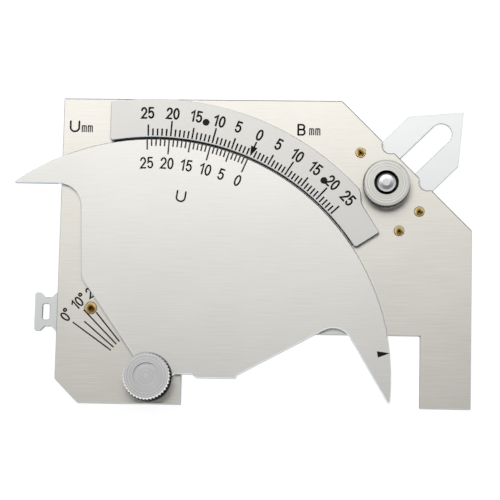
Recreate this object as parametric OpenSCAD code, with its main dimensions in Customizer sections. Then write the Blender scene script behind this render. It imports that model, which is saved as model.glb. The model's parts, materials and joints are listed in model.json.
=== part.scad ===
// Weld gauge: a flat steel plate on two feet, with a swinging cam read on an arc scale and a throat slide.
// It lies on its back. X runs along the feet, Y from the feet to the top edge and Z out of the front face.

/* [Body plate] */
// Width over the two feet
body_w = 105.5; // [100:0.5:112]
// Height from the feet to the top edge
body_h = 79; // [76:0.5:84]
// Thickness of the plate
plate_t = 1.5; // [1:0.1:2.5]
// Length of the left foot
left_foot_w = 32.4; // [30:0.1:36]
// Length of the right foot
right_foot_w = 13; // [9:0.1:16]
// Height of the gap between the feet
bridge_h = 18.4; // [15:0.1:24]
// Legs of the cut corner at the top right
top_chamfer = 33.5; // [30:0.5:36]
// Legs of the cut corner at the left toe
toe_chamfer = 6; // [3:0.1:9]
// Rounding of the cut corners
plate_corner_r = 1; // [0.3:0.1:2]
// Radius of the two finger notches in the cut corner
notch_r = 2.2; // [1.8:0.1:2.8]
// Depth of the notches
notch_depth = 1.4; // [0.8:0.1:1.8]
// Distance between the two notches
notch_pitch = 13.5; // [12:0.1:16]

/* [Cam] */
// Thickness of the cam
cam_t = 1.2; // [0.8:0.1:2]
// Radius of the cam's arc
cam_r = 61.6; // [58:0.1:64]
// Diameter of the hub round the pivot
hub_d = 12; // [10.5:0.1:13]
// Rounding of the inner corner between the hub and the step
hub_root_r = 1.2; // [0.6:0.1:1.6]
// Angle of the straight reading edge, from the X axis
reading_edge_angle = 125; // [120:0.5:130]
// Height of the horn's lower edge above the pivot
horn_h = 49.7; // [46:0.1:52]
// Distance of the left edge from the pivot, below the horn
waist_x = 18.8; // [16:0.1:21]
// Lean of the left edge towards the pivot
waist_lean = 2.4; // [0:0.1:5]
// Rounding of the inner corner below the horn
horn_root_r = 5.8; // [3:0.1:8]
// Rounding of the corner between the left edge and the reading edge
waist_corner_r = 3; // [1:0.1:5]
// Rounding of the horn's point
horn_tip_r = 0.25; // [0.1:0.05:0.6]
// Height of the step beside the hub above the pivot
step_h = 0.9; // [0.5:0.1:1.5]
// End of the step, from the pivot
step_end = 11.3; // [10:0.1:12]
// Start of the flat pad, from the pivot
pad_start = 12.4; // [12.1:0.1:14]
// End of the flat pad, from the pivot
pad_end = 22.3; // [19:0.1:24]
// Length of the rise from the pad to the slope
pad_rise = 0.4; // [0.2:0.1:1]
// Angle of the slope above the pad
slope_angle = 28.5; // [25:0.5:31]
// Angle of the beak's point on the cam's arc
beak_tip_angle = -6; // [-6.2:0.1:-4]
// Slope of the beak's inner edge
beak_angle = 59.4; // [56:0.2:64]
// Rounding at the top of the arch between slope and beak
arch_r = 5; // [2:0.1:7]
// Rounding of the beak's point
beak_tip_r = 0.4; // [0.2:0.05:0.6]

/* [Scale plate] */
// Thickness of the scale plate
scale_t = 1.5; // [1:0.1:2]
// Width of the scale plate's band
scale_w = 10; // [8:0.1:10.4]
// Gap between the cam's arc and the scale plate
scale_gap = 0.5; // [0.3:0.05:0.8]
// Distance of the left end from the pivot
scale_left = 11.5; // [9:0.1:14]
// Angle of the right end, from the X axis
scale_right_angle = 33.2; // [31:0.1:36]
// Clearance of the scale plate beside the clamp nut
nut_relief = 0.4; // [0.3:0.05:2]
// Rounding of the edge's corner and bend beside the nut
relief_r = 3.6; // [2:0.1:4]
// Depth of the bend below the nut's centre
relief_drop = 3.8; // [3.5:0.1:4.5]
// Angle at which the edge runs on past the bend
relief_heading = -57.8; // [-64:0.2:-56]
// Rounding of the two corners beside the cam's arc
scale_corner_r = 0.8; // [0.3:0.1:1.2]
// Diameter of the two pins
pin_d = 1.5; // [1:0.1:2]
// Distance of the pins from the inner edge
pin_in = 5.2; // [4.5:0.1:6]
// Angle of the left pin
pin_left_angle = 78.7; // [76:0.1:81]
// Angle of the right pin past the inner rivet of the upper guide
pin_right_angle = 1.1; // [1:0.1:3]

/* [Pivot and knob] */
// Place of the pivot from the plate's left edge
pivot_x = 23.9; // [22:0.1:26]
// Height of the pivot above the feet
pivot_y = 6.7; // [6.6:0.1:8]
// Diameter of the bush that the cam turns on
bush_d = 7; // [6:0.1:8]
// Diameter of the bush's boss behind the plate
boss_d = 11; // [9:0.1:13]
// Diameter of the knob's screw
knob_screw_d = 4; // [3:0.1:4.4]
// Diameter of the knob
knob_d = 12.2; // [11:0.1:13]
// Thickness of the knob's grip
knob_t = 3; // [2:0.1:5]
// Number of ridges on the knob
knob_teeth = 42; // [30:1:60]
// Depth of the ridges
knob_tooth_depth = 0.35; // [0.2:0.05:0.6]
// Bevel at the edge of the knob's face
knob_bevel = 0.4; // [0.2:0.05:0.8]
// Diameter of the dish in the knob's face
dish_d = 6.6; // [4:0.1:8]
// Depth of the dish
dish_depth = 0.3; // [0.1:0.05:0.6]
// Diameter of the collar below the grip
collar_d = 9; // [7:0.1:10]
// Height of the collar
collar_h = 0.3; // [0.2:0.05:1]
// Thickness of the washer between cam and knob
pivot_washer_t = 0.4; // [0.2:0.05:1]
// Diameter of that washer
pivot_washer_d = 10; // [8.5:0.1:11]

/* [Slide and guides] */
// Distance of the slide's line from the plate's lower left corner
slide_offset = 18.8; // [18.5:0.1:19.7]
// Distance of the clamp screw in from the cut corner
stud_inset = 7.3; // [6.8:0.1:8]
// Width of the slide
slide_w = 18.1; // [16:0.1:20]
// Thickness of the slide
slide_t = 1.2; // [0.8:0.1:2]
// Width of the slot along the slide
slot_w = 5.5; // [5.2:0.1:7]
// Reach of the slide's point from the clamp screw
tip_reach = 27.7; // [26:0.1:28]
// Angle between the two edges of the point
tip_angle = 80; // [70:1:90]
// Reach of the slot's outer end from the clamp screw
slot_reach = 22.3; // [21:0.1:22.6]
// Reach of the slot's inner end behind the clamp screw
slot_back = 9; // [8.8:0.1:11]
// Reach of the slide's inner end behind the clamp screw
slide_back = 14; // [13:0.1:18]
// Width of each guide strip
guide_w = 3.2; // [2.8:0.1:5]
// Reach of the guides from the clamp screw towards the cut corner
guide_front = 5; // [3:0.1:5.5]
// Reach of the guides behind the clamp screw
guide_back = 10; // [8:0.1:14]
// Place of the outer guide rivets from the clamp screw
rivet_front = 1.2; // [0.5:0.1:2]
// Distance between the two rivets of the lower guide
rivet_pitch = 7.15; // [5:0.05:8]
// Diameter of the guide rivets
rivet_d = 2.3; // [1.6:0.1:2.4]

/* [Clamp] */
// Diameter of the clamp nut
nut_d = 12.1; // [11:0.1:12.6]
// Thickness of the clamp nut
nut_t = 3.5; // [2.5:0.1:5]
// Number of ridges on the nut
nut_teeth = 60; // [40:1:80]
// Depth of the nut's ridges
nut_tooth_depth = 0.2; // [0.1:0.05:0.3]
// Bevel at the edge of the nut's face
nut_bevel = 0.5; // [0.2:0.05:0.8]
// Diameter of the recess in the nut's face
recess_d = 6.2; // [5.6:0.1:8]
// Depth of the recess
recess_depth = 2; // [0.8:0.1:2]
// Diameter of the clamp screw
stud_d = 4.8; // [4:0.1:5]
// Height of the screw's end above the nut
stud_proud = 0.6; // [0.2:0.1:0.8]
// Height of the low dome on the screw's end
dome_h = 0.1; // [0.1:0.1:1.2]
// Bevel round the screw's end
stud_bevel = 0.5; // [0.2:0.05:0.8]
// Diameter of the screw's flat head behind the plate
screw_head_d = 10; // [8:0.1:12]
// Thickness of that head
screw_head_t = 1.5; // [1:0.1:2.5]
// Bevel of the head and of the pivot's boss
head_bevel = 0.3; // [0.1:0.05:0.5]
// Thickness of the washer under the nut
clamp_washer_t = 0.5; // [0.3:0.05:1]
// Diameter of that washer
clamp_washer_d = 11; // [9:0.1:11.4]

/* [Lug] */
// Height of the lug's middle above the feet
lug_y = 23.4; // [20:0.1:28]
// Height of the lug
lug_h = 9.8; // [8.5:0.1:12]
// Reach of the lug past the plate's left edge
lug_reach = 5.9; // [5.6:0.1:7]
// Length of the lug behind the plate
lug_inside = 19.5; // [18.5:0.1:22]
// Thickness of the lug
lug_t = 1.2; // [0.8:0.1:1.25]
// Rounding of the lug's outer corners
lug_corner_r = 0.5; // [0.2:0.1:0.8]
// Width of the bar at the lug's outer end
lug_bar = 1.6; // [1.2:0.1:2]
// Depth of the two waist cuts in the lug
lug_waist = 1.15; // [0.6:0.05:1.6]
// Width of the waist
lug_waist_w = 2.7; // [2:0.1:3.2]
// Width of the slot in the lug
lug_slot_w = 1.8; // [1.4:0.1:2.2]
// Height of the slot in the lug
lug_slot_h = 4.1; // [3:0.1:5]
// Place of the first lug rivet from the plate's left edge
lug_rivet_x = 8.7; // [6:0.1:10]
// Height of the lug rivets above the lug's middle
lug_rivet_up = 0.9; // [0:0.1:2]
// Distance between the two lug rivets
lug_rivet_pitch = 7; // [5:0.1:8]
// Diameter of the lug rivets
lug_rivet_d = 2.9; // [2:0.1:3]

/* [Clearances] */
// Clearance round fixed pins and rivets
fit_gap = 0.02; // [0.01:0.01:0.05]
// Running clearance on each side of a moving piece
play = 0.05; // [0.02:0.01:0.08]

/* [Hidden] */
$fn = 96;

STEEL = "lightgrey";
CAM_STEEL = "silver";
SCALE_STEEL = "gainsboro";
TURNED_STEEL = "darkgrey";
BLACK_STEEL = "dimgrey";
BRASS = "goldenrod";

// Overlap that carries a cut or a fill past the face it starts from
over = 1;
// Length that is longer than any piece
far = 200;
// Depth by which a rounding cuts across the edges that it joins
blend = 0.003;

// Heights above the table, from the heads behind the plate to the front
guide_t = slide_t + 2 * play;
z_slide = screw_head_t + play;
z_back = screw_head_t + guide_t;
z_front = z_back + plate_t;
z_cam = z_front + play;
z_cam_top = z_cam + cam_t;
z_pivot_washer = z_cam_top + play;
z_knob = z_pivot_washer + pivot_washer_t;
z_grip = z_knob + collar_h;
z_knob_top = z_grip + knob_t;
z_nut = z_front + clamp_washer_t;
z_nut_top = z_nut + nut_t;
z_stud_top = z_nut_top + stud_proud;

scale_in = cam_r + scale_gap;
scale_out = scale_in + scale_w;

// The slide's frame: its origin is the clamp screw and its +X axis points out through the cut corner
edge_along = (body_w + body_h - top_chamfer) / sqrt(2);
stud_along = edge_along - stud_inset;
stud_x = (stud_along + slide_offset) / sqrt(2);
stud_y = (stud_along - slide_offset) / sqrt(2);
// Place of the scale plate's edge beside the nut, from the pivot
relief_x = stud_x - pivot_x - nut_d / 2 - nut_relief;
tip_length = slide_w / 2 / tan(tip_angle / 2);
guide_inner = slide_w / 2 + play;
rivet_across = guide_inner + guide_w / 2;
lower_inner_at = rivet_front - rivet_pitch;

// The upper guide's inner rivet lies under the scale plate, just outside the circle of the pins,
// and at least as far in as the lower guide's
pin_wall = 0.6;
pin_clear = pin_wall + (pin_d + rivet_d) / 2;
pin_r = scale_in + pin_in;
hidden_rivet_r = pin_r + pin_clear;
upper_line = from_slide([0, rivet_across]) - [pivot_x, pivot_y];
upper_along = (upper_line[0] + upper_line[1]) / sqrt(2);
hidden_at = sqrt(pow(upper_along, 2) - upper_line * upper_line + pow(hidden_rivet_r, 2)) - upper_along;
upper_inner_at = min(lower_inner_at, hidden_at);
upper_rivet = upper_line + [upper_inner_at, upper_inner_at] / sqrt(2);
clear_cos = (pow(pin_r, 2) + upper_rivet * upper_rivet - pow(pin_clear, 2)) / (2 * pin_r * norm(upper_rivet));
clear_angle = acos(min(1, clear_cos));
right_pin_at = atan2(upper_rivet[1], upper_rivet[0]) + max(pin_right_angle, clear_angle);

// Corners of the cam, from the pivot
waist_top = [-waist_x, horn_h];
horn_dir = [-1, 0];
waist_dir = [sin(waist_lean), -cos(waist_lean)];
reading_dir = polar(1, reading_edge_angle);
waist_corner = crossing(waist_top, waist_dir, [0, 0], reading_dir);
beak_tip = polar(cam_r, beak_tip_angle);
beak_dir = polar(1, -beak_angle);
slope_foot = [pad_end + pad_rise, step_h];
slope_dir = polar(-1, slope_angle);
arch_top = crossing(slope_foot, slope_dir, beak_tip, beak_dir);
pad_y = 0;

// Centres of the roundings where the cam's arc ends
horn_round = [-sqrt(pow(cam_r - horn_tip_r, 2) - pow(horn_h + horn_tip_r, 2)), horn_h + horn_tip_r];
beak_round = beak_round_centre();

// Box of the whole gauge, which centres it on the origin
left_reach = min(pivot_x + horn_round[0] - horn_tip_r, -lug_reach);
right_reach = max(body_w, stud_x + tip_reach / sqrt(2));
top_reach = max(body_h, stud_y + tip_reach / sqrt(2), pivot_y + scale_out);
frame_x = -(left_reach + right_reach) / 2;
frame_y = -top_reach / 2;

function polar(r, a) = [r * cos(a), r * sin(a)];
function unit(v) = v / norm(v);
function cross2(a, b) = a[0] * b[1] - a[1] * b[0];

// Point of the slide's frame, on the plate
function from_slide(p) = [stud_x, stud_y] + [p[0] - p[1], p[0] + p[1]] / sqrt(2);

// Place of a guide rivet along the slide: outer (0) or inner (1), on the given side
function guide_rivet_at(side, i) = i == 0 ? rivet_front : side > 0 ? upper_inner_at : lower_inner_at;

// Point where the line from p along u meets the line from q along v
function crossing(p, u, q, v) = p + u * cross2(q - p, v) / cross2(u, v);

// Centre of a rounding of radius r in the corner p, whose edges run off along u and v
function corner_centre(p, u, v, r) = p + unit(unit(u) + unit(v)) * r / sin(acos(unit(u) * unit(v)) / 2);
function corner_tangent(p, u, v, r) = p + unit(u) * r / tan(acos(unit(u) * unit(v)) / 2);

// Centre of the beak's rounding: inside the arc, and as far from the beak's inner edge
function beak_round_centre() =
    let (normal = polar(1, 90 - beak_angle),
         start = beak_tip + normal * beak_tip_r,
         reach = cam_r - beak_tip_r,
         half_b = start * beak_dir,
         t = -half_b + sqrt(half_b * half_b - start * start + reach * reach))
    start + beak_dir * t;

// Waste outside the rounding of an outer corner, to be cut off
module corner_waste(p, u, v, r) {
    c = corner_centre(p, u, v, r);
    difference() {
        polygon([c, 2 * corner_tangent(p, u, v, r) - c, 2 * p - c, 2 * corner_tangent(p, v, u, r) - c]);
        translate(c) circle(r = r + blend);
    }
}

// Waste past the rounding about c where an arc meets a straight edge, given the outward normals of both
module arc_tip_waste(c, r, arc_normal, edge_normal) {
    point = unit(arc_normal + edge_normal);
    point_reach = r / (point * edge_normal);
    difference() {
        polygon([c, c + 2 * r * arc_normal, c + 2 * point_reach * point, c + 2 * r * edge_normal]);
        translate(c) circle(r = r + blend);
    }
}

// Moves a drawing from the pivot to the plate
module at_pivot() {
    translate([pivot_x, pivot_y]) children();
}

// Moves a drawing from the slide's frame to the plate
module at_slide() {
    translate([stud_x, stud_y]) rotate(45) children();
}

// Centres the gauge over the origin
module placed() {
    translate([frame_x, frame_y, 0]) children();
}

module disc(d, z, h) {
    translate([0, 0, z]) cylinder(d = d, h = h);
}

// Round bar with a bevelled lower edge
module bevelled_disc(d, z, h, bevel) {
    translate([0, 0, z])
        rotate_extrude()
            polygon([[0, 0], [d / 2 - bevel, 0], [d / 2, bevel], [d / 2, h], [0, h]]);
}

// Straight-ridged grip with bevelled edges
module ridged_grip(d, z, h, teeth, depth, bevel) {
    turn = 360 / teeth;
    intersection() {
        translate([0, 0, z])
            linear_extrude(h)
                polygon([for (i = [0 : 2 * teeth - 1]) polar(d / 2 - (i % 2) * depth, i * turn / 2)]);
        translate([0, 0, z])
            rotate_extrude()
                polygon([[0, 0], [d / 2 - bevel, 0], [d / 2 - bevel + h / 2, h / 2], [d / 2 - bevel, h],
                         [0, h]]);
    }
}

module body_outline() {
    right_top = [body_w, body_h - top_chamfer];
    top_right = [body_w - top_chamfer, body_h];
    toe_low = [toe_chamfer, 0];
    toe_high = [0, toe_chamfer];
    down_right = [1, -1];
    difference() {
        polygon([toe_low, [left_foot_w, 0], [left_foot_w, bridge_h], [body_w - right_foot_w, bridge_h],
                 [body_w - right_foot_w, 0], [body_w, 0], right_top, top_right, [0, body_h], toe_high]);
        corner_waste(right_top, [0, -1], -down_right, plate_corner_r);
        corner_waste(top_right, [-1, 0], down_right, plate_corner_r);
        corner_waste(toe_low, [1, 0], -down_right, plate_corner_r);
        corner_waste(toe_high, [0, 1], down_right, plate_corner_r);
        at_slide()
            for (side = [-1, 1])
                translate([stud_inset + notch_r - notch_depth, side * notch_pitch / 2]) circle(r = notch_r);
    }
}

// Moves a drawing to the outer (0) or inner (1) rivet of the guide on the given side
module at_guide_rivet(side, i) {
    at_slide() translate([guide_rivet_at(side, i), side * rivet_across]) children();
}

// Moves a drawing to the outer (0) or inner (1) rivet of the lug
module at_lug_rivet(i) {
    translate([lug_rivet_x + i * lug_rivet_pitch, lug_y + lug_rivet_up]) children();
}

// Moves a drawing to the scale plate's pin at the given angle
module at_pin(a) {
    at_pivot() translate(polar(pin_r, a)) children();
}

module guide_rivet_holes() {
    for (side = [-1, 1], i = [0, 1])
        at_guide_rivet(side, i) circle(d = rivet_d + 2 * fit_gap);
}

module lug_rivet_holes() {
    for (i = [0, 1])
        at_lug_rivet(i) circle(d = lug_rivet_d + 2 * fit_gap);
}

module pin_holes() {
    for (a = [pin_left_angle, right_pin_at])
        at_pin(a) circle(d = pin_d + 2 * fit_gap);
}

module body_plate() {
    color(STEEL)
        placed()
            translate([0, 0, z_back])
                linear_extrude(plate_t)
                    difference() {
                        body_outline();
                        at_pivot() circle(d = bush_d + 2 * fit_gap);
                        at_slide() circle(d = stud_d + 2 * play);
                        guide_rivet_holes();
                        lug_rivet_holes();
                        pin_holes();
                    }
}

// Outline of the cam with sharp points, drawn past its arc. Its two inner corners run straight across,
// from one end of their rounding to the other, and are then cut round.
module cam_blank() {
    difference() {
        polygon([beak_tip + beak_dir * over, [far, beak_tip[1]], [far, far], [-far, far], [-far, horn_h],
                 corner_tangent(waist_top, horn_dir, waist_dir, horn_root_r),
                 corner_tangent(waist_top, waist_dir, horn_dir, horn_root_r),
                 waist_corner, [0, 0], [0, step_h], [step_end, step_h], [pad_start, pad_y],
                 [pad_end, pad_y], slope_foot,
                 corner_tangent(arch_top, slope_dir, beak_dir, arch_r),
                 corner_tangent(arch_top, beak_dir, slope_dir, arch_r)]);
        translate(corner_centre(waist_top, horn_dir, waist_dir, horn_root_r)) circle(r = horn_root_r + blend);
        translate(corner_centre(arch_top, slope_dir, beak_dir, arch_r)) circle(r = arch_r + blend);
        corner_waste(waist_corner, -waist_dir, -reading_dir, waist_corner_r);
    }
}

// Rounded corner beside the hub, tangent to the hub and to the step
module hub_fill() {
    centre_y = step_h - hub_root_r;
    centre_x = sqrt(pow(hub_d / 2 + hub_root_r, 2) - centre_y * centre_y);
    difference() {
        polygon([[0, 0], [centre_x, centre_y], [centre_x, step_h], [0, step_h]]);
        translate([centre_x, centre_y]) circle(r = hub_root_r + blend);
    }
}

module cam_outline() {
    difference() {
        intersection() {
            circle(r = cam_r);
            union() {
                cam_blank();
                circle(d = hub_d);
                hub_fill();
            }
        }
        arc_tip_waste(horn_round, horn_tip_r, unit(horn_round), [0, -1]);
        arc_tip_waste(beak_round, beak_tip_r, unit(beak_round), polar(-1, 90 - beak_angle));
        circle(d = bush_d + 2 * play);
    }
}

module cam_plate() {
    color(CAM_STEEL)
        placed()
            translate([0, 0, z_cam])
                linear_extrude(cam_t)
                    at_pivot() cam_outline();
}

// Space kept free beside the clamp nut, round the bend and on towards the right end
module nut_space() {
    in = blend - relief_r;
    translate([relief_x + relief_r, stud_y - pivot_y - relief_drop]) {
        circle(r = relief_r);
        translate([in, 0]) square([far, far]);
        rotate(relief_heading) translate([0, in]) square([far, far]);
    }
}

module scale_outline() {
    end_dir = polar(1, scale_right_angle);
    end_side = polar(1, scale_right_angle + 90);
    corner_reach = scale_in + scale_corner_r;
    right_along = sqrt(pow(corner_reach, 2) - pow(scale_corner_r, 2));
    right_round = end_dir * right_along + end_side * scale_corner_r;
    left_x = scale_corner_r - scale_left;
    left_round = [left_x, sqrt(pow(corner_reach, 2) - left_x * left_x)];
    nut_round_x = relief_x - relief_r;
    nut_round = [nut_round_x, sqrt(max(0, pow(scale_out - relief_r, 2) - pow(nut_round_x, 2)))];
    difference() {
        intersection() {
            difference() {
                circle(r = scale_out);
                circle(r = scale_in);
            }
            polygon([[0, 0], end_dir * far, [far, far], [-scale_left, far], [-scale_left, 0]]);
        }
        nut_space();
        arc_tip_waste(right_round, scale_corner_r, -unit(right_round), -end_side);
        arc_tip_waste(left_round, scale_corner_r, -unit(left_round), [-1, 0]);
        arc_tip_waste(nut_round, relief_r, unit(nut_round), [1, 0]);
    }
}

module scale_plate() {
    color(SCALE_STEEL)
        placed()
            translate([0, 0, z_front])
                linear_extrude(scale_t)
                    difference() {
                        at_pivot() scale_outline();
                        pin_holes();
                    }
}

module scale_pin(a) {
    color(BLACK_STEEL)
        placed()
            at_pin(a) disc(pin_d, z_back, plate_t + scale_t);
}

module scale_pin_left() {
    scale_pin(pin_left_angle);
}

module scale_pin_right() {
    scale_pin(right_pin_at);
}

// Bush with its boss on the table, through the plate and the cam, tapped for the knob
module pivot_bush() {
    color(TURNED_STEEL)
        placed()
            at_pivot()
                difference() {
                    union() {
                        bevelled_disc(boss_d, 0, z_back, head_bevel);
                        disc(bush_d, z_back - over / 2, z_cam_top - z_back + over / 2);
                    }
                    disc(knob_screw_d + 2 * play, -over, z_cam_top + 2 * over);
                }
}

module pivot_washer() {
    color(TURNED_STEEL)
        placed()
            at_pivot()
                difference() {
                    disc(pivot_washer_d, z_pivot_washer, pivot_washer_t);
                    disc(knob_screw_d + 2 * play, z_pivot_washer - over, pivot_washer_t + 2 * over);
                }
}

// Thumb screw: screw, collar and ridged grip turned from one bar
module pivot_knob() {
    color(TURNED_STEEL)
        placed()
            at_pivot()
                difference() {
                    union() {
                        ridged_grip(knob_d, z_grip, knob_t, knob_teeth, knob_tooth_depth, knob_bevel);
                        disc(collar_d, z_knob, collar_h + over / 2);
                        bevelled_disc(knob_screw_d, screw_head_t, z_grip - screw_head_t + over / 2,
                                      head_bevel);
                    }
                    disc(dish_d, z_knob_top - dish_depth, dish_depth + over);
                }
}

module throat_slide() {
    color(STEEL)
        placed()
            translate([0, 0, z_slide])
                linear_extrude(slide_t)
                    at_slide()
                        difference() {
                            polygon([[-slide_back, -slide_w / 2], [tip_reach - tip_length, -slide_w / 2],
                                     [tip_reach, 0], [tip_reach - tip_length, slide_w / 2],
                                     [-slide_back, slide_w / 2]]);
                            slot_outline();
                        }
}

module slot_outline() {
    r = slot_w / 2;
    translate([r - slot_back, -r]) square([slot_reach + slot_back - slot_w, slot_w]);
    translate([slot_reach - r, 0]) circle(r = r);
    translate([r - slot_back, 0]) circle(r = r);
}

module slide_guide(side) {
    back = max(guide_back, rivet_d - guide_rivet_at(side, 1));
    color(STEEL)
        placed()
            translate([0, 0, screw_head_t])
                linear_extrude(guide_t)
                    difference() {
                        at_slide()
                            translate([-back, side * rivet_across - guide_w / 2])
                                square([back + guide_front, guide_w]);
                        guide_rivet_holes();
                    }
}

module slide_guide_upper() {
    slide_guide(1);
}

module slide_guide_lower() {
    slide_guide(-1);
}

// Hollow rivet: flush and dished in front, with a low round head behind
module hollow_rivet(d, z_seat) {
    head_d = 1.5 * d;
    head_h = 0.22 * d;
    dish_r = 0.45 * d;
    dish_h = 0.2 * d;
    hole_r = 0.15 * d;
    rotate_extrude()
        polygon([[0, z_seat - head_h], [head_d / 2 - head_h, z_seat - head_h], [head_d / 2, z_seat],
                 [d / 2, z_seat], [d / 2, z_front], [dish_r, z_front], [hole_r, z_front - dish_h],
                 [hole_r, z_back], [0, z_back]]);
}

module guide_rivet(side, i) {
    color(BRASS)
        placed()
            at_guide_rivet(side, i) hollow_rivet(rivet_d, screw_head_t);
}

module guide_rivet_upper_outer() {
    guide_rivet(1, 0);
}

module guide_rivet_upper_inner() {
    guide_rivet(1, 1);
}

module guide_rivet_lower_outer() {
    guide_rivet(-1, 0);
}

module guide_rivet_lower_inner() {
    guide_rivet(-1, 1);
}

module lug_rivet(i) {
    color(BRASS)
        placed()
            at_lug_rivet(i) hollow_rivet(lug_rivet_d, z_back - lug_t);
}

module lug_rivet_outer() {
    lug_rivet(0);
}

module lug_rivet_inner() {
    lug_rivet(1);
}

// Flat-headed screw whose square neck keeps it from turning in the slide's slot
module clamp_screw() {
    neck_w = slot_w - 2 * play;
    stud_h = z_stud_top - z_back + over / 2;
    bevel_start = stud_h - dome_h - stud_bevel;
    dome_r = stud_d / 2 - stud_bevel;
    color(TURNED_STEEL)
        placed()
            at_slide() {
                bevelled_disc(screw_head_d, 0, screw_head_t, head_bevel);
                translate([-neck_w / 2, -neck_w / 2, screw_head_t - over / 2])
                    cube([neck_w, neck_w, guide_t + over / 2]);
                translate([0, 0, z_back - over / 2])
                    rotate_extrude()
                        polygon([[0, 0], [stud_d / 2, 0], [stud_d / 2, bevel_start],
                                 [dome_r, bevel_start + stud_bevel], [dome_r / 2, stud_h], [0, stud_h]]);
            }
}

module clamp_washer() {
    color(TURNED_STEEL)
        placed()
            at_slide()
                difference() {
                    disc(clamp_washer_d, z_front, clamp_washer_t);
                    disc(stud_d + 2 * play, z_front - over, clamp_washer_t + 2 * over);
                }
}

module clamp_nut() {
    color(TURNED_STEEL)
        placed()
            at_slide()
                difference() {
                    ridged_grip(nut_d, z_nut, nut_t, nut_teeth, nut_tooth_depth, nut_bevel);
                    disc(stud_d + 2 * play, z_nut - over, nut_t + 2 * over);
                    disc(recess_d, z_nut_top - recess_depth, recess_depth + over);
                }
}

// Slotted lug that stands out at the left edge, riveted behind the plate
module lug_plate() {
    waist_x0 = lug_bar - lug_reach;
    slot_r = lug_slot_w / 3;
    slot_x = waist_x0 + lug_waist_w / 2;
    color(STEEL)
        placed()
            translate([0, 0, z_back - lug_t])
                linear_extrude(lug_t)
                    difference() {
                        translate([-lug_reach, lug_y - lug_h / 2]) square([lug_reach + lug_inside, lug_h]);
                        for (side = [-1, 1])
                            translate([0, lug_y]) scale([1, side]) {
                                polygon([[waist_x0, lug_h], [waist_x0, lug_h / 2],
                                         [waist_x0 + lug_waist, lug_h / 2 - lug_waist],
                                         [waist_x0 + lug_waist_w, lug_h / 2 - lug_waist],
                                         [waist_x0 + lug_waist_w + lug_waist, lug_h / 2],
                                         [waist_x0 + lug_waist_w + lug_waist, lug_h]]);
                                corner_waste([-lug_reach, lug_h / 2], [1, 0], [0, -1], lug_corner_r);
                            }
                        translate([slot_x, lug_y]) rounded_slot(lug_slot_w, lug_slot_h, slot_r);
                        lug_rivet_holes();
                    }
}

// Rectangle with rounded corners, about its middle
module rounded_slot(w, h, r) {
    square([w - 2 * r, h], center = true);
    square([w, h - 2 * r], center = true);
    for (x = [-1, 1], y = [-1, 1])
        translate([x * (w / 2 - r), y * (h / 2 - r)]) circle(r = r);
}

body_plate();
cam_plate();
scale_plate();
scale_pin_left();
scale_pin_right();
pivot_bush();
pivot_washer();
pivot_knob();
throat_slide();
slide_guide_upper();
slide_guide_lower();
guide_rivet_upper_outer();
guide_rivet_upper_inner();
guide_rivet_lower_outer();
guide_rivet_lower_inner();
clamp_screw();
clamp_washer();
clamp_nut();
lug_plate();
lug_rivet_outer();
lug_rivet_inner();
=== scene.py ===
"""Weld gauge on its back: steel finishes, graduations and figures, with a floor, a light and a camera."""

import json
from math import asin, cos, degrees, radians, sin

import bmesh
import bpy
from mathutils import Matrix, Vector


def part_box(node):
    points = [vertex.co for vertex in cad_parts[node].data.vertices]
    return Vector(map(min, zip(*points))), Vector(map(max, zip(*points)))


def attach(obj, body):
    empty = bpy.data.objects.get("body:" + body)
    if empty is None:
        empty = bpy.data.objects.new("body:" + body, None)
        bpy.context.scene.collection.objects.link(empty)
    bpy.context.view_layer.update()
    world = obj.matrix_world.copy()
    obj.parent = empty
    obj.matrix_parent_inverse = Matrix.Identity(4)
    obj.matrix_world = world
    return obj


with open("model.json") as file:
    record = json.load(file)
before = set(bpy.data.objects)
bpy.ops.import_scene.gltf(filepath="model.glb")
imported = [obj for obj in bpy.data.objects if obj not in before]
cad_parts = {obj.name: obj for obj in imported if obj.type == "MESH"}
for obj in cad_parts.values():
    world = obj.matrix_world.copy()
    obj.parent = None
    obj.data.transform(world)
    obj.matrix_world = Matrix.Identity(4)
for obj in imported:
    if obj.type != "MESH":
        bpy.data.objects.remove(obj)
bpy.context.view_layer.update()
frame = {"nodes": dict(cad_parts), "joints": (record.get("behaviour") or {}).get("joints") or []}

MM = 0.001

# Places that the CAD gives, in metres
JOINTS = {joint["name"]: joint for joint in frame["joints"]}
PIVOT = Vector(JOINTS["cam_swing"]["pos_m"])
STUD = Vector(JOINTS["nut_turn"]["pos_m"])
BODY_LOW, BODY_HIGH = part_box("body_plate")
CORNER = BODY_LOW.xy
BODY_TOP = BODY_HIGH.z
CAM_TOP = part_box("cam_plate")[1].z
SCALE_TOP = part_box("scale_plate")[1].z


def add_object(name, data):
    """Object in the scene."""
    item = bpy.data.objects.new(name, data)
    bpy.context.scene.collection.objects.link(item)
    return item


# Marks

# How far marks sink into the steel, and how far they stand above it
MARK_SINK = 0.03 * MM
MARK_PROUD = 0.012 * MM

# Steps of a stroke's round end in degrees, the least cosine that a stroke's corner is mitred at, and the
# distance below which two points of a stroke are one
PEN_CAP = (30, 55, 75)
PEN_MITRE = 0.5
PEN_STEP = 0.001 * MM


def heading(angle):
    """Direction in the plate's plane, at an angle in degrees from X."""
    return Vector((cos(radians(angle)), sin(radians(angle))))


def from_corner(x, y):
    """Point of the plate, given in millimetres from the body's lower left corner."""
    return CORNER + Vector((x, y)) * MM


def about_pivot(radius, angle):
    """Point at a radius in millimetres and an angle in degrees about the cam's pivot."""
    return PIVOT.xy + heading(angle) * radius * MM


def pen_cap(point, outward, across, half, turn):
    """Cross-section of a stroke's round end, at an angle from the end's full width."""
    middle = point + outward * half * sin(radians(turn))
    width = half * cos(radians(turn))
    return middle + across * width, middle - across * width


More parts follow.
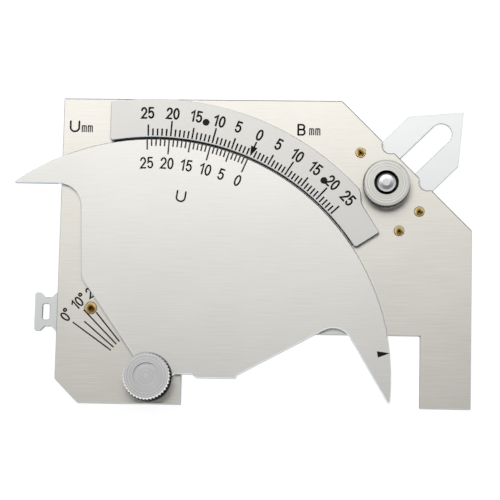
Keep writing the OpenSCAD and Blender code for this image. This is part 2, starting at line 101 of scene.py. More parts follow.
class Marks:
    """Collects flat shapes on one face as closed plates, and turns them into one object."""

    def __init__(self, name, body, top, material):
        self.name = name
        self.body = body
        self.low = top - MARK_SINK
        self.high = top + MARK_PROUD
        self.material = material
        self.mesh = bmesh.new()

    def rings(self, sections):
        """Ring of four corners for each cross-section, which is a pair of left and right points."""
        rings = []
        for left, right in sections:
            corners = ((left, self.high), (right, self.high), (right, self.low), (left, self.low))
            rings.append([self.mesh.verts.new((p.x, p.y, z)) for p, z in corners])
        return rings

    def skin(self, rings, next_rings):
        """Faces between rings and the rings that follow them."""
        for ring, following in zip(rings, next_rings):
            for i in range(4):
                j = (i + 1) % 4
                self.mesh.faces.new((ring[i], ring[j], following[j], following[i]))

    def strip(self, sections):
        """Plate through cross-sections, closed at both ends."""
        rings = self.rings(sections)
        self.skin(rings, rings[1:])
        self.mesh.faces.new(rings[0])
        self.mesh.faces.new(reversed(rings[-1]))

    def loop(self, sections):
        """Plate through cross-sections, the last of which joins the first."""
        rings = self.rings(sections)
        self.skin(rings, rings[1:] + rings[:1])

    def line(self, start, end, width):
        """Square-ended line between two points."""
        side = (end - start).normalized().orthogonal() * width / 2
        self.strip([(start + side, start - side), (end + side, end - side)])

    def polygon(self, corners):
        """Plate with a convex outline."""
        top = [self.mesh.verts.new((p.x, p.y, self.high)) for p in corners]
        bottom = [self.mesh.verts.new((p.x, p.y, self.low)) for p in corners]
        self.mesh.faces.new(top)
        self.mesh.faces.new(reversed(bottom))
        for i in range(len(corners)):
            j = (i + 1) % len(corners)
            self.mesh.faces.new((top[i], bottom[i], bottom[j], top[j]))

    def pen(self, points, width, closed=False):
        """Stroke of a round pen along points."""
        points = [p for i, p in enumerate(points) if i == 0 or (p - points[i - 1]).length > PEN_STEP]
        count = len(points)
        half = width / 2
        sections = []
        for i, point in enumerate(points):
            before = points[i - 1] if closed or i > 0 else None
            after = points[(i + 1) % count] if closed or i < count - 1 else None
            way_in = (point - before).normalized() if before else (after - point).normalized()
            way_out = (after - point).normalized() if after else way_in
            along = (way_in + way_out).normalized()
            reach = half / max(along.dot(way_in), PEN_MITRE)
            sections.append((point, along, along.orthogonal(), reach))
        stroke = [(point + across * reach, point - across * reach) for point, _, across, reach in sections]
        if closed:
            self.loop(stroke)
            return
        point, along, across, _ = sections[0]
        start = [pen_cap(point, -along, across, half, turn) for turn in reversed(PEN_CAP)]
        point, along, across, _ = sections[-1]
        end = [pen_cap(point, along, across, half, turn) for turn in PEN_CAP]
        self.strip(start + stroke + end)

    def finish(self):
        """Makes the object, which rides on its body."""
        bmesh.ops.recalc_face_normals(self.mesh, faces=self.mesh.faces)
        mesh = bpy.data.meshes.new(self.name)
        self.mesh.to_mesh(mesh)
        self.mesh.free()
        mesh.materials.append(self.material)
        piece = add_object(self.name, mesh)
        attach(piece, self.body)


# Figures and letters

def arc(x, y, rx, ry, start, end, steps=14):
    """Points of an elliptical arc, from one angle in degrees to another."""
    turns = [start + (end - start) * i / steps for i in range(steps + 1)]
    return [(x + rx * cos(radians(t)), y + ry * sin(radians(t))) for t in turns]


# Width and pen strokes of each figure and letter, on a height of 1
GLYPHS = {
    "0": (0.46, [arc(0.23, 0.5, 0.23, 0.5, 0, 360, 28)]),
    "1": (0.32, [[(0, 0.77), (0.25, 1), (0.25, 0)]]),
    "2": (0.46, [arc(0.23, 0.71, 0.22, 0.29, 170, -35) + [(0, 0), (0.46, 0)]]),
    "5": (0.46, [[(0.42, 1), (0.07, 1), (0.03, 0.53)] + arc(0.23, 0.32, 0.23, 0.32, 128, -150, 18)]),
    "U": (0.84, [[(0, 1), (0, 0.38)] + arc(0.42, 0.38, 0.42, 0.38, 180, 360, 16)
                 + [(0.84, 0.38), (0.84, 1)]]),
    "B": (0.64, [[(0, 0), (0, 1), (0.36, 1)] + arc(0.36, 0.76, 0.23, 0.24, 90, -90) + [(0, 0.52)],
                 [(0, 0.52), (0.38, 0.52)] + arc(0.38, 0.26, 0.26, 0.26, 90, -90) + [(0, 0)]]),
    "m": (0.64, [[(0, 0), (0, 1)],
                 [(0, 0.84)] + arc(0.16, 0.84, 0.16, 0.16, 180, 0, 10) + [(0.32, 0)],
                 [(0.32, 0.84)] + arc(0.48, 0.84, 0.16, 0.16, 180, 0, 10) + [(0.64, 0)]]),
    "o": (0.28, [arc(0.14, 0.94, 0.14, 0.14, 0, 360, 16)]),
}

# Those whose stroke is a closed loop
CLOSED_GLYPHS = "0o"


def write(marks, text, middle, up, height, pen, gap):
    """Writes text about its middle. Height, pen width and gap between letters are in millimetres."""
    right = Vector((up.y, -up.x))
    widths = [GLYPHS[letter][0] * height for letter in text]
    place = -(sum(widths) + gap * (len(text) - 1)) / 2
    for letter, width in zip(text, widths):
        closed = letter in CLOSED_GLYPHS
        for stroke in GLYPHS[letter][1]:
            points = [middle + right * (place + x * height) * MM + up * (y - 0.5) * height * MM
                      for x, y in stroke]
            marks.pen(points[:-1] if closed else points, pen * MM, closed)
        place += width + gap


def radial_text(marks, text, radius, angle, height, pen, gap):
    """Text whose top points away from the pivot."""
    write(marks, text, about_pivot(radius, angle), heading(angle), height, pen, gap)


def radial_line(marks, angle, start, end, width):
    """Line from one radius about the pivot to another. All lengths are in millimetres."""
    marks.line(about_pivot(start, angle), about_pivot(end, angle), width * MM)


# Graduations: a reading in millimetres turns the cam by an angle that follows from these two lengths
READING_RADIUS = 61.3
READING_RISE = 6.7
LARGEST_READING = 25

# Angles of the zero marks on the scale plate and on the cam
ZERO_ANGLE = 66.63
CAM_ZERO_ANGLE = 66.91


def turn_left(reading):
    """Angle in degrees from the zero mark to a reading on the left."""
    return degrees(asin((reading + READING_RISE) / READING_RADIUS) - asin(READING_RISE / READING_RADIUS))


def turn_right(reading):
    """Angle in degrees from the zero mark to a reading on the right."""
    return degrees(asin((reading - READING_RISE) / READING_RADIUS) + asin(READING_RISE / READING_RADIUS))


def mark_end(reading, ends):
    """Radius where a mark ends: ends are those of the tens, the fives and the single marks."""
    if reading % 10 == 0:
        return ends[0]
    return ends[1] if reading % 5 == 0 else ends[2]


# Materials

class Graph:
    """Shader nodes of one tree, and the steps that the finishes are made of."""

    def __init__(self, tree):
        self.nodes = tree.nodes
        self.links = tree.links

    def feed(self, node, inputs):
        """Gives each input of a node its value, or links it where an output is given."""
        for key, value in inputs.items():
            if isinstance(value, bpy.types.NodeSocket):
                self.links.new(value, node.inputs[key])
            else:
                node.inputs[key].default_value = value

    def add(self, kind, inputs=None, **properties):
        """Node with its properties and inputs set."""
        node = self.nodes.new(kind)
        for key, value in properties.items():
            setattr(node, key, value)
        self.feed(node, inputs or {})
        return node

    def math(self, operation, *values):
        """Result of an operation on numbers."""
        return self.add("ShaderNodeMath", dict(enumerate(values)), operation=operation).outputs["Value"]

    def vector_math(self, operation, result, *values):
        """Result of an operation on vectors: the output Vector or Value."""
        node = self.add("ShaderNodeVectorMath", dict(enumerate(values)), operation=operation)
        return node.outputs[result]

    def noise(self, vector, scale, detail, roughness=0.5):
        """Noise from 0 to 1."""
        inputs = {"Vector": vector, "Scale": scale, "Detail": detail, "Roughness": roughness}
        return self.add("ShaderNodeTexNoise", inputs).outputs["Fac"]

    def part(self, vector, axis):
        """Part of a vector along one axis."""
        return self.add("ShaderNodeSeparateXYZ", {"Vector": vector}).outputs[axis]

    def ramp(self, value, start, end, first=0.0, last=1.0):
        """First value up to the start, last value from the end on, and a straight run between them."""
        inputs = {"Value": value, "From Min": start, "From Max": end, "To Min": first, "To Max": last}
        return self.add("ShaderNodeMapRange", inputs).outputs["Result"]

    def around(self, factor, middle, spread):
        """Value that follows a factor from 0 to 1, within a spread about its middle."""
        return self.ramp(factor, 0, 1, middle - spread, middle + spread)

    def blended(self, factor, first, second):
        """Mix of two numbers."""
        return self.add("ShaderNodeMix", {"Factor": factor, "A": first, "B": second}).outputs["Result"]

    def mixed(self, factor, first, second):
        """Mix of two colours with alpha, or of outputs."""
        inputs = {"Factor": factor, "A": first, "B": second}
        return self.add("ShaderNodeMix", inputs, data_type="RGBA").outputs["Result"]

    def shaded(self, factor, dark, light):
        """Colour between two colours that follows a factor from 0 to 1."""
        return self.mixed(factor, (*dark, 1), (*light, 1))

    def worn(self, factor, colour, least):
        """Colour of which a factor from 0 to 1 leaves between its least share and all."""
        return self.shaded(factor, tuple(least * channel for channel in colour), colour)

    def steepness(self, normal):
        """1 on faces that look along Z, and 0 on upright ones."""
        return self.math("ABSOLUTE", self.part(normal, "Z"))

    def distance_from(self, place, centre):
        """Distance from an axis along Z."""
        away = self.vector_math("SUBTRACT", "Vector", place, (centre.x, centre.y, 0))
        flat = self.vector_math("MULTIPLY", "Vector", away, (1, 1, 0))
        return self.vector_math("LENGTH", "Value", flat)


def new_material(name):
    """Material with its graph and its Principled shader."""
    material = bpy.data.materials.new(name)
    material.use_nodes = True
    graph = Graph(material.node_tree)
    return material, graph, graph.nodes["Principled BSDF"]


def make_metal(graph, shader, colour, roughness, relief, strength, depth):
    """Gives a metal's shader its colour, its roughness and its fine relief."""
    bump = graph.add("ShaderNodeBump", {"Height": relief, "Strength": strength, "Distance": depth})
    graph.feed(shader, {"Base Color": colour, "Roughness": roughness, "Normal": bump.outputs["Normal"],
                        "Metallic": 1})


# Brushing of flat steel: noise scale along each axis, depth, and the lines' share of the shade
BRUSHING = (90, 5200, 900)
BRUSHING_DEPTH = 0.01 * MM
BRUSHING_SHARE = 0.7

# Steepness over which a wall turns into a broken edge, and a broken edge into a flat face
WALL_TO_RIM = (0.1, 0.2)
RIM_TO_FACE = (0.93, 0.985)

# Part of a broken edge's normal along Y over which it turns into a far one, whose darker colour is painted
# shade
NEAR_TO_FAR_SHADE = (0.2, 0.45)

# Share of its colour that the darkest line keeps, on a broken edge and on a wall
RIM_LEAST = 0.9
WALL_LEAST = 0.7

# Roughness of walls, and how far roughness varies on faces and on walls
WALL_ROUGHNESS = 0.95
FACE_SPREAD = 0.07
WALL_SPREAD = 0.05

# Painted shade round the pivot: its colour, and the width of its soft border
PIVOT_SHADE = (0.012, 0.011, 0.01)
PIVOT_SHADE_FADE = 0.3 * MM


def brushed_steel(name, dark, light, rim, wall, roughness, grain, pivot_shade_r=0.0, far_rim_painted_shade=None):
    """Flat steel with fine brushing along X, faint clouds, and its own colours on broken edges and walls.

    Grain is the brushing's strength. Inside a given radius round the pivot the colour turns near black, a
    painted shade, and broken edges that look along Y can take their own darker colour, also a painted
    shade.
    """
    material, graph, shader = new_material(name)
    coords = graph.add("ShaderNodeTexCoord").outputs
    brushed = graph.add("ShaderNodeMapping", {"Vector": coords["Object"], "Scale": BRUSHING})
    lines = graph.noise(brushed.outputs["Vector"], scale=1, detail=4, roughness=0.65)
    clouds = graph.noise(coords["Object"], scale=55, detail=3)
    cloud_part = graph.around(clouds, middle=0.15, spread=0.1)
    face = graph.shaded(graph.math("MULTIPLY_ADD", lines, BRUSHING_SHARE, cloud_part), dark, light)
    broken = graph.worn(lines, rim, RIM_LEAST)
    # Broken edges that look along Y: a darker colour, painted shade
    if far_rim_painted_shade:
        far_shade = graph.ramp(graph.part(coords["Normal"], "Y"), *NEAR_TO_FAR_SHADE)
        broken = graph.mixed(far_shade, broken, graph.worn(lines, far_rim_painted_shade, RIM_LEAST))
    slope = graph.steepness(coords["Normal"])
    off_wall = graph.ramp(slope, *WALL_TO_RIM)
    edge = graph.mixed(off_wall, graph.worn(lines, wall, WALL_LEAST), broken)
    colour = graph.mixed(graph.ramp(slope, *RIM_TO_FACE), edge, face)
    # Painted shade: near black round the pivot, under the knob
    if pivot_shade_r:
        distance = graph.distance_from(coords["Object"], PIVOT)
        colour = graph.mixed(graph.ramp(distance, pivot_shade_r, pivot_shade_r + PIVOT_SHADE_FADE), (*PIVOT_SHADE, 1), colour)
    smooth = graph.around(lines, roughness, FACE_SPREAD)
    torn = graph.around(lines, WALL_ROUGHNESS, WALL_SPREAD)
    make_metal(graph, shader, colour, graph.blended(off_wall, torn, smooth), lines, grain, BRUSHING_DEPTH)
    return material


# Tool marks of turned steel: strength, depth, share of the shade, and how far roughness varies
TOOL_STRENGTH = 0.6
TOOL_DEPTH = 0.02 * MM
TOOL_SHARE = 0.8
TOOL_SPREAD = 0.08

# Steepness over which a side turns into a bevel, and a bevel into a face
SIDE_TO_BEVEL = (0.15, 0.45)
BEVEL_TO_FACE = (0.88, 0.97)

# Colours of the sides, near black as painted shade, and the share of its colour that the darkest spot of a
# bevel keeps
SIDE_SHADE_DARK = (0.01, 0.01, 0.01)
SIDE_SHADE_LIGHT = (0.04, 0.04, 0.04)
BEVEL_LEAST = 0.9

# Width of the soft border of the rim ring painted as a highlight and of the recess painted as shade
RIM_FADE = 0.1 * MM
RECESS_SHADE_FADE = 0.05 * MM


def turned_steel(name, dark, light, bright, centre, roughness, rings, recess_shade_r=0.0, rim=0.0):
    """Turned steel with concentric tool marks about an axis along Z, bevels in their own colour, and sides
    painted near black as shade.

    Rings is the number of marks in a millimetre, pit the radius round the axis inside which the recess is
    painted near black as shade, and rim the radius where a ring in the bevel's colour begins, a painted
    highlight.
    """
    material, graph, shader = new_material(name)
    coords = graph.add("ShaderNodeTexCoord").outputs
    radius = graph.distance_from(coords["Object"], centre)
    marks = {"W": radius, "Scale": rings / MM, "Detail": 3, "Roughness": 0.6}
    tool = graph.add("ShaderNodeTexNoise", marks, noise_dimensions="1D").outputs["Fac"]
    clouds = graph.noise(coords["Object"], scale=300, detail=2)
    cloud_part = graph.around(clouds, middle=0.1, spread=0.1)
    face = graph.shaded(graph.math("MULTIPLY_ADD", tool, TOOL_SHARE, cloud_part), dark, light)
    bevel = graph.worn(clouds, bright, BEVEL_LEAST)
    # Sides: near black, a painted shade
    side = graph.shaded(clouds, SIDE_SHADE_DARK, SIDE_SHADE_LIGHT)
    # Ring beyond the rim radius in the bevel's colour: a painted highlight
    if rim:
        face = graph.mixed(graph.ramp(radius, rim, rim + RIM_FADE), face, bevel)
    slope = graph.steepness(coords["Normal"])
    raised = graph.mixed(graph.ramp(slope, *BEVEL_TO_FACE), bevel, face)
    colour = graph.mixed(graph.ramp(slope, *SIDE_TO_BEVEL), side, raised)
    # Recess round the axis: near black, a painted shade
    if recess_shade_r:
        colour = graph.mixed(graph.ramp(radius, recess_shade_r, recess_shade_r + RECESS_SHADE_FADE), side, colour)
    uneven = graph.around(tool, roughness, TOOL_SPREAD)
    make_metal(graph, shader, colour, uneven, tool, TOOL_STRENGTH, TOOL_DEPTH)
    return material


# Polished brass: roughness, how far it varies, and the strength and depth of its scratches
BRASS_ROUGHNESS = 0.25
BRASS_SPREAD = 0.09
SCRATCH_STRENGTH = 0.15
SCRATCH_DEPTH = 0.02 * MM


def brass(name, deep_shade, bright, low, high):
    """Polished brass painted darker into its dish, between two heights, as painted shade and reflection."""
    material, graph, shader = new_material(name)
    coords = graph.add("ShaderNodeTexCoord").outputs
    height = graph.ramp(graph.part(coords["Object"], "Z"), low, high)
    scratches = graph.noise(coords["Object"], scale=2500, detail=3)
    uneven = graph.around(scratches, BRASS_ROUGHNESS, BRASS_SPREAD)
    colour = graph.shaded(height, deep_shade, bright)
    make_metal(graph, shader, colour, uneven, scratches, SCRATCH_STRENGTH, SCRATCH_DEPTH)
    return material


# Paint: specular level, and how far its roughness varies
PAINT_SPECULAR = 0.15
PAINT_SPREAD = 0.1


def paint(name, dark, light, roughness):
    """Slightly uneven paint, for marks and blackened steel."""
    material, graph, shader = new_material(name)
    coords = graph.add("ShaderNodeTexCoord").outputs
    specks = graph.noise(coords["Object"], scale=2600, detail=3)
    graph.feed(shader, {"Base Color": graph.shaded(specks, dark, light),
                        "Roughness": graph.around(specks, roughness, PAINT_SPREAD),
                        "Specular IOR Level": PAINT_SPECULAR})
    return material


# Finishes of the CAD pieces

# Radius of the painted shade round the pivot, of the knob's ring painted as a highlight, and of the nut's
# recess painted as shade
PIVOT_SHADE_R = 6.1 * MM
KNOB_RIM_R = 5.5 * MM
RECESS_R = 3.12 * MM

# Heights between which the rivets' dishes are painted darker, as painted shade and reflection
DISH_LOW = BODY_TOP - 0.5 * MM
DISH_HIGH = BODY_TOP - 0.08 * MM

# Body plate: its broken edges that look along Y are painted near black, a painted shade
BODY_STEEL = brushed_steel(
    "body_steel", dark=(0.59, 0.565, 0.51), light=(0.98, 0.95, 0.88), rim=(0.6, 0.63, 0.65),
    wall=(0.6, 0.61, 0.62), roughness=0.4, grain=0.4, far_rim_painted_shade=(0.03, 0.033, 0.036))
# Cam: its walls and a ring round the pivot are near black, both painted shade
CAM_STEEL = brushed_steel(
    "cam_steel", dark=(0.65, 0.64, 0.605), light=(0.97, 0.955, 0.905), rim=(0.92, 0.97, 1),
    wall=(0.12, 0.125, 0.13), roughness=0.41, grain=0.3, pivot_shade_r=PIVOT_SHADE_R)
# Scale plate: its walls are near black, a painted shade
SCALE_STEEL = brushed_steel(
    "scale_steel", dark=(0.63, 0.616, 0.583), light=(0.8, 0.786, 0.753), rim=(0.8, 0.84, 0.87),
    wall=(0.025, 0.025, 0.03), roughness=0.44, grain=0.15)
SLIDE_STEEL = brushed_steel(
    "slide_steel", dark=(0.79, 0.8, 0.79), light=(0.88, 0.89, 0.88), rim=(0.8, 0.83, 0.85),
    wall=(0.6, 0.61, 0.62), roughness=0.42, grain=0.15)
LUG_STEEL = brushed_steel(
    "lug_steel", dark=(0.72, 0.73, 0.72), light=(0.84, 0.85, 0.84), rim=(0.75, 0.78, 0.8),
    wall=(0.4, 0.41, 0.42), roughness=0.42, grain=0.15)
# Knob: a ring on its face beyond the rim radius is painted in the bevel's white, a painted highlight
KNOB_STEEL = turned_steel(
    "knob_steel", dark=(0.44, 0.44, 0.44), light=(1, 1, 0.98), bright=(1, 1, 1), centre=PIVOT,
    roughness=0.34, rings=3, rim=KNOB_RIM_R)
# Nut: its bevels are a darker steel than its face, a painted shade, and its recess round the stud is
# painted near black as shade
NUT_STEEL = turned_steel(
    "nut_steel", dark=(0.28, 0.275, 0.25), light=(0.86, 0.85, 0.8), bright=(0.62, 0.62, 0.61), centre=STUD,
    roughness=0.32, rings=3, recess_shade_r=RECESS_R)
STUD_STEEL = turned_steel(
    "stud_steel", dark=(0.4, 0.4, 0.41), light=(0.75, 0.75, 0.75), bright=(0.7, 0.7, 0.7), centre=STUD,
    roughness=0.3, rings=2)
RIVET_BRASS = brass(
    "rivet_brass", deep_shade=(0.13, 0.05, 0.015), bright=(0.95, 0.7, 0.28), low=DISH_LOW, high=DISH_HIGH)
BLACK_PAINT = paint(
    "black_paint", dark=(0.003, 0.003, 0.004), light=(0.012, 0.012, 0.014), roughness=0.5)
GREY_PAINT = paint(
    "grey_paint", dark=(0.05, 0.045, 0.045), light=(0.13, 0.12, 0.12), roughness=0.5)
BLACK_STEEL = paint(
    "black_steel", dark=(0.004, 0.004, 0.004), light=(0.02, 0.02, 0.02), roughness=0.35)

FINISHES = {
    "body_plate": BODY_STEEL,
    "cam_plate": CAM_STEEL,
    "scale_plate": SCALE_STEEL,
    "scale_pin_left": BLACK_STEEL,
    "scale_pin_right": BLACK_STEEL,
    "pivot_bush": KNOB_STEEL,
    "pivot_washer": KNOB_STEEL,
    "pivot_knob": KNOB_STEEL,
    "throat_slide": SLIDE_STEEL,
    "slide_guide_upper": SLIDE_STEEL,
    "slide_guide_lower": SLIDE_STEEL,
    "guide_rivet_upper_outer": RIVET_BRASS,
    "guide_rivet_upper_inner": RIVET_BRASS,
    "guide_rivet_lower_outer": RIVET_BRASS,
    "guide_rivet_lower_inner": RIVET_BRASS,
    "clamp_screw": STUD_STEEL,
    "clamp_washer": NUT_STEEL,
    "clamp_nut": NUT_STEEL,
    "lug_plate": LUG_STEEL,
    "lug_rivet_outer": RIVET_BRASS,
    "lug_rivet_inner": RIVET_BRASS,
}
for node, finish in FINISHES.items():
    slots = frame["nodes"][node].data.materials
    slots.clear()
    slots.append(finish)


# Broken edges of the plates, with the widths of their bevels in millimetres
EDGE_BREAKS = {
    "body_plate": 0.2,
    "cam_plate": 0.22,
    "scale_plate": 0.14,
    "throat_slide": 0.14,
    "lug_plate": 0.14,
}

# Distance within which corners are one, turn up to which faces are one flat face, and turn from which an
# edge is sharp
EDGE_WELD = 0.002 * MM
FLAT_TURN = radians(0.1)
SHARP_TURN = radians(50)


def break_edges(node, width):
    """Small bevel on a CAD piece's sharp edges, which catches the light."""
    piece = frame["nodes"][node]
    weld = piece.modifiers.new("weld", "WELD")
    weld.merge_threshold = EDGE_WELD
    faces = piece.modifiers.new("flat_faces", "DECIMATE")
    faces.decimate_type = "DISSOLVE"
    faces.angle_limit = FLAT_TURN
    bevel = piece.modifiers.new("bevel", "BEVEL")
    bevel.width = width * MM
    bevel.segments = 1
    bevel.limit_method = "ANGLE"
    bevel.angle_limit = SHARP_TURN
    bevel.use_clamp_overlap = False


for node, width in EDGE_BREAKS.items():
    break_edges(node, width)


# Scale plate: marks on both sides of zero, figures and the zero arrow

# Sizes of these marks and of all other marks are in millimetres, and radii and angles are about the pivot
FIGURE_H = 2.62
FIGURE_GAP = 0.6
FIGURE_PEN = 0.5
PLATE_MARK_START = 62.35
PLATE_MARK_W = 0.43
PLATE_MARK_ENDS = (66.4, 65.3, 64.25)
PLATE_FIGURE_RADIUS = 68.35
PLATE_FIGURES = {
    "25": (91.65, 43.0),
    "20": (86.15, 47.7),
    "15": (81.0, 52.55),
    "10": (75.9, 57.35),
    "5": (71.55, 62.05),
    "0": (ZERO_ANGLE,),
}
ARROW_TIP = 62.3
ARROW_BASE = 65.0
ARROW_TAIL = 66.4
ARROW_HALF = 0.9

scale_marks = Marks("scale_graduations", "body", SCALE_TOP, BLACK_PAINT)
for reading in range(1, LARGEST_READING + 1):
    end = mark_end(reading, PLATE_MARK_ENDS)
    radial_line(scale_marks, ZERO_ANGLE + turn_left(reading), PLATE_MARK_START, end, PLATE_MARK_W)
    radial_line(scale_marks, ZERO_ANGLE - turn_right(reading), PLATE_MARK_START, end, PLATE_MARK_W)
scale_marks.finish()

scale_figures = Marks("scale_figures", "body", SCALE_TOP, BLACK_PAINT)
for text, angles in PLATE_FIGURES.items():
    for angle in angles:
        radial_text(scale_figures, text, PLATE_FIGURE_RADIUS, angle, FIGURE_H, FIGURE_PEN, FIGURE_GAP)
scale_figures.finish()

zero_arrow = Marks("zero_arrow", "body", SCALE_TOP, BLACK_PAINT)
arrow_side = heading(ZERO_ANGLE - 90) * ARROW_HALF * MM
arrow_base = about_pivot(ARROW_BASE, ZERO_ANGLE)
zero_arrow.polygon([about_pivot(ARROW_TIP, ZERO_ANGLE), arrow_base + arrow_side, arrow_base - arrow_side])
radial_line(zero_arrow, ZERO_ANGLE, ARROW_BASE, ARROW_TAIL, PLATE_MARK_W)
zero_arrow.finish()


# Painted shade: a black strip on the body in the gap between the cam's arc and the scale plate
GAP_OUTER = 62.08
GAP_INNER = 61.84
GAP_START = 34
GAP_END = 99.7
GAP_STEPS = 96

gap_painted_shade = Marks("gap_painted_shade", "body", BODY_TOP, BLACK_PAINT)
gap_turns = [GAP_START + (GAP_END - GAP_START) * i / GAP_STEPS for i in range(GAP_STEPS + 1)]
gap_painted_shade.strip([(about_pivot(GAP_OUTER, turn), about_pivot(GAP_INNER, turn)) for turn in gap_turns])
gap_painted_shade.finish()


# Cam: marks on its arc, figures, the letter of its scale and the pointer at the beak
CAM_MARK_START = 61.4
CAM_MARK_ENDS = (57.65, 58.75, 59.7)
CAM_MARK_W = 0.4
CAM_FIGURE_RADIUS = 55.3
CAM_FIGURE_PEN = 0.44
CAM_FIGURES = {"25": 91.95, "20": 86.5, "15": 81.3, "10": 76.1, "5": 71.65, "0": 66.95}
CAM_LETTER_RADIUS = 47.15
CAM_LETTER_ANGLE = 81.2
CAM_LETTER_H = 2.6

# Corners of the pointer, from the body's lower left corner
CAM_POINTER = ((85.01, 13.77), (81.75, 14.22), (82.05, 12.6))

cam_marks = Marks("cam_graduations", "cam", CAM_TOP, GREY_PAINT)
for reading in range(LARGEST_READING + 1):
    angle = CAM_ZERO_ANGLE + turn_left(reading)
    radial_line(cam_marks, angle, CAM_MARK_START, mark_end(reading, CAM_MARK_ENDS), CAM_MARK_W)
cam_marks.finish()

cam_figures = Marks("cam_figures", "cam", CAM_TOP, BLACK_PAINT)
for text, angle in CAM_FIGURES.items():
    radial_text(cam_figures, text, CAM_FIGURE_RADIUS, angle, FIGURE_H, CAM_FIGURE_PEN, FIGURE_GAP)
radial_text(cam_figures, "U", CAM_LETTER_RADIUS, CAM_LETTER_ANGLE, CAM_LETTER_H, CAM_FIGURE_PEN, gap=0)
cam_figures.finish()

cam_pointer = Marks("cam_pointer", "cam", CAM_TOP, BLACK_PAINT)
cam_pointer.polygon([from_corner(*corner) for corner in CAM_POINTER])
cam_pointer.finish()


# Body: letters and units of the two scales, and the angle marks beside the cam's reading edge

# Places of letters and words, from the body's lower left corner
UP = Vector((0, 1))
UNIT_LETTERS = {"U": (2.98, 71.6), "B": (61.65, 71.3)}
UNIT_LETTER_H = 2.65
UNIT_LETTER_PEN = 0.48
UNIT_WORDS = ((6.2, 71.0), (65.05, 70.8))
UNIT_WORD_H = 1.6
UNIT_WORD_PEN = 0.3
UNIT_WORD_GAP = 0.55

# Lines by their angle, with the radius where they end, and figures with their angle
ANGLE_LINE_START = 11.8
ANGLE_LINE_W = 0.36
ANGLE_LINES = {144.8: 24.1, 139.8: 21.9, 134.8: 24.1, 129.8: 21.5}
ANGLE_FIGURES = {"0o": 143.7, "10o": 133.6, "20o": 123.2}
ANGLE_FIGURE_RADIUS = 26.5
ANGLE_FIGURE_H = 2.5
ANGLE_FIGURE_PEN = 0.42
ANGLE_FIGURE_GAP = 0.42

units = Marks("scale_units", "body", BODY_TOP, BLACK_PAINT)
for letter, place in UNIT_LETTERS.items():
    write(units, letter, from_corner(*place), UP, UNIT_LETTER_H, UNIT_LETTER_PEN, gap=0)
for place in UNIT_WORDS:
    write(units, "mm", from_corner(*place), UP, UNIT_WORD_H, UNIT_WORD_PEN, UNIT_WORD_GAP)
units.finish()

angle_marks = Marks("angle_graduations", "body", BODY_TOP, BLACK_PAINT)
for angle, end in ANGLE_LINES.items():
    radial_line(angle_marks, angle, ANGLE_LINE_START, end, ANGLE_LINE_W)
for text, angle in ANGLE_FIGURES.items():
    radial_text(angle_marks, text, ANGLE_FIGURE_RADIUS, angle, ANGLE_FIGURE_H, ANGLE_FIGURE_PEN,
                ANGLE_FIGURE_GAP)
angle_marks.finish()


# Floor: white where it is seen, with the gauge's own soft shadow, and just below the gauge
FLOOR_HALF = 6
FLOOR_GAP = 0.05 * MM
FLOOR_COLOUR = (0.8, 0.8, 0.8, 1)
FLOOR_SHADE = (0.35, 0.35, 0.35, 1)
FLOOR_GLOW = 0.86


def floor_material():
    """Pale for the light that it throws back, and white where it is seen or mirrored."""
    material, graph, shader = new_material("floor")
    graph.nodes.remove(shader)
    path = graph.add("ShaderNodeLightPath").outputs
    seen = graph.math("MAXIMUM", path["Is Camera Ray"], path["Is Glossy Ray"])
    seen = graph.math("MAXIMUM", seen, path["Is Transmission Ray"])
    pale = graph.add("ShaderNodeBsdfDiffuse", {"Color": FLOOR_COLOUR}).outputs["BSDF"]
    shade = graph.add("ShaderNodeBsdfDiffuse", {"Color": FLOOR_SHADE}).outputs["BSDF"]
    glow = graph.add("ShaderNodeEmission", {"Color": (1, 1, 1, 1), "Strength": FLOOR_GLOW})
    white = graph.add("ShaderNodeAddShader", {0: glow.outputs["Emission"], 1: shade}).outputs["Shader"]
    surface = graph.add("ShaderNodeMixShader", {"Fac": seen, 1: pale, 2: white}).outputs["Shader"]
    graph.feed(graph.nodes["Material Output"], {"Surface": surface})
    return material


def add_floor():
    """Square floor about the origin."""
    mesh = bpy.data.meshes.new("floor")
    signs = ((-1, -1), (1, -1), (1, 1), (-1, 1))
    mesh.from_pydata([(x * FLOOR_HALF, y * FLOOR_HALF, 0) for x, y in signs], [], [(0, 1, 2, 3)])
    mesh.materials.append(floor_material())
    item = add_object("floor", mesh)
    item.location.z = -FLOOR_GAP
    return item


floor = add_floor()


# Light: a soft box above and beyond the gauge's top edge, in a room
KEY_PLACE = Vector((-0.08, 0.58, 1.0))
KEY_SIZE = 0.75
KEY_POWER = 3.85

# Room: the ceiling is brighter on the lamp's side, and the horizon is brighter on the other side
ROOM_COLOUR = (0.97, 0.98, 1, 1)
TOWARD_LAMP = (-0.3, 0.93, 0)

# How far a direction goes towards the lamp where the strength begins and stops changing, and both strengths
CEILING_REACH = (-0.1, 0.8)
CEILING_STRENGTH = (0.12, 0.76)
HORIZON_REACH = (-0.1, 0.7)
HORIZON_STRENGTH = (0.95, 0.05)

# Height of a direction over which the horizon turns into the ceiling
HORIZON_TO_CEILING = (0.35, 0.75)


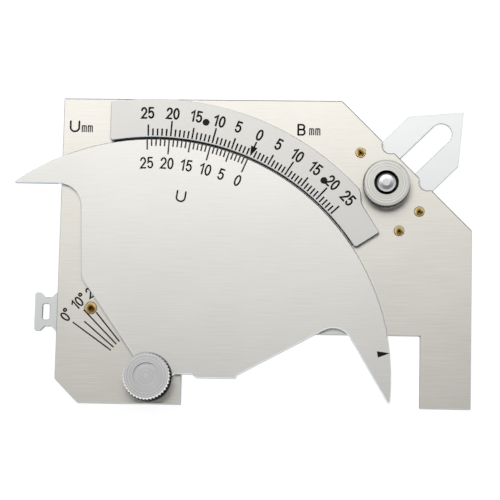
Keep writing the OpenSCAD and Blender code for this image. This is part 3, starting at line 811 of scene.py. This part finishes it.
def soft_box(name, place, size, power):
    """Square area light that looks at the gauge."""
    light = bpy.data.lights.new(name, "AREA")
    light.shape = "SQUARE"
    light.size = size
    light.energy = power
    lamp = add_object(name, light)
    lamp.location = place
    lamp.rotation_euler = (-place).to_track_quat("-Z", "Y").to_euler()


def light_room():
    """World whose strength depends on the direction."""
    world = bpy.data.worlds.new("studio")
    bpy.context.scene.world = world
    world.use_nodes = True
    graph = Graph(world.node_tree)
    direction = graph.add("ShaderNodeTexCoord").outputs["Generated"]
    toward_lamp = graph.vector_math("DOT_PRODUCT", "Value", direction, TOWARD_LAMP)
    ceiling = graph.ramp(toward_lamp, *CEILING_REACH, *CEILING_STRENGTH)
    horizon = graph.ramp(toward_lamp, *HORIZON_REACH, *HORIZON_STRENGTH)
    overhead = graph.ramp(graph.part(direction, "Z"), *HORIZON_TO_CEILING)
    strength = graph.blended(overhead, horizon, ceiling)
    graph.feed(graph.nodes["Background"], {"Color": ROOM_COLOUR, "Strength": strength})


soft_box("key_light", KEY_PLACE, KEY_SIZE, KEY_POWER)
light_room()


# Camera, fitted to the plate's edges and arcs in the photograph
CAMERA_LENS = 158.4
CAMERA_SENSOR = 36
CAMERA_NEAR = 0.01
CAMERA_PLACE = Vector((36.08, -88.29, 557.76)) * MM
CAMERA_ROLL = radians(-1.325)
CAMERA_TILT = radians(-9.079)
CAMERA_PAN = radians(-3.491)


def place_camera():
    """Camera that looks at the gauge as the photograph does."""
    data = bpy.data.cameras.new("camera")
    data.lens = CAMERA_LENS
    data.sensor_width = CAMERA_SENSOR
    data.clip_start = CAMERA_NEAR
    roll = Matrix.Rotation(CAMERA_ROLL, 3, "Z")
    tilt = Matrix.Rotation(CAMERA_TILT, 3, "X")
    pan = Matrix.Rotation(CAMERA_PAN, 3, "Y")
    camera = add_object("camera", data)
    camera.matrix_world = Matrix.Translation(CAMERA_PLACE) @ (roll @ tilt @ pan).transposed().to_4x4()
    bpy.context.scene.camera = camera


place_camera()
bpy.context.scene.view_settings.view_transform = "Standard"
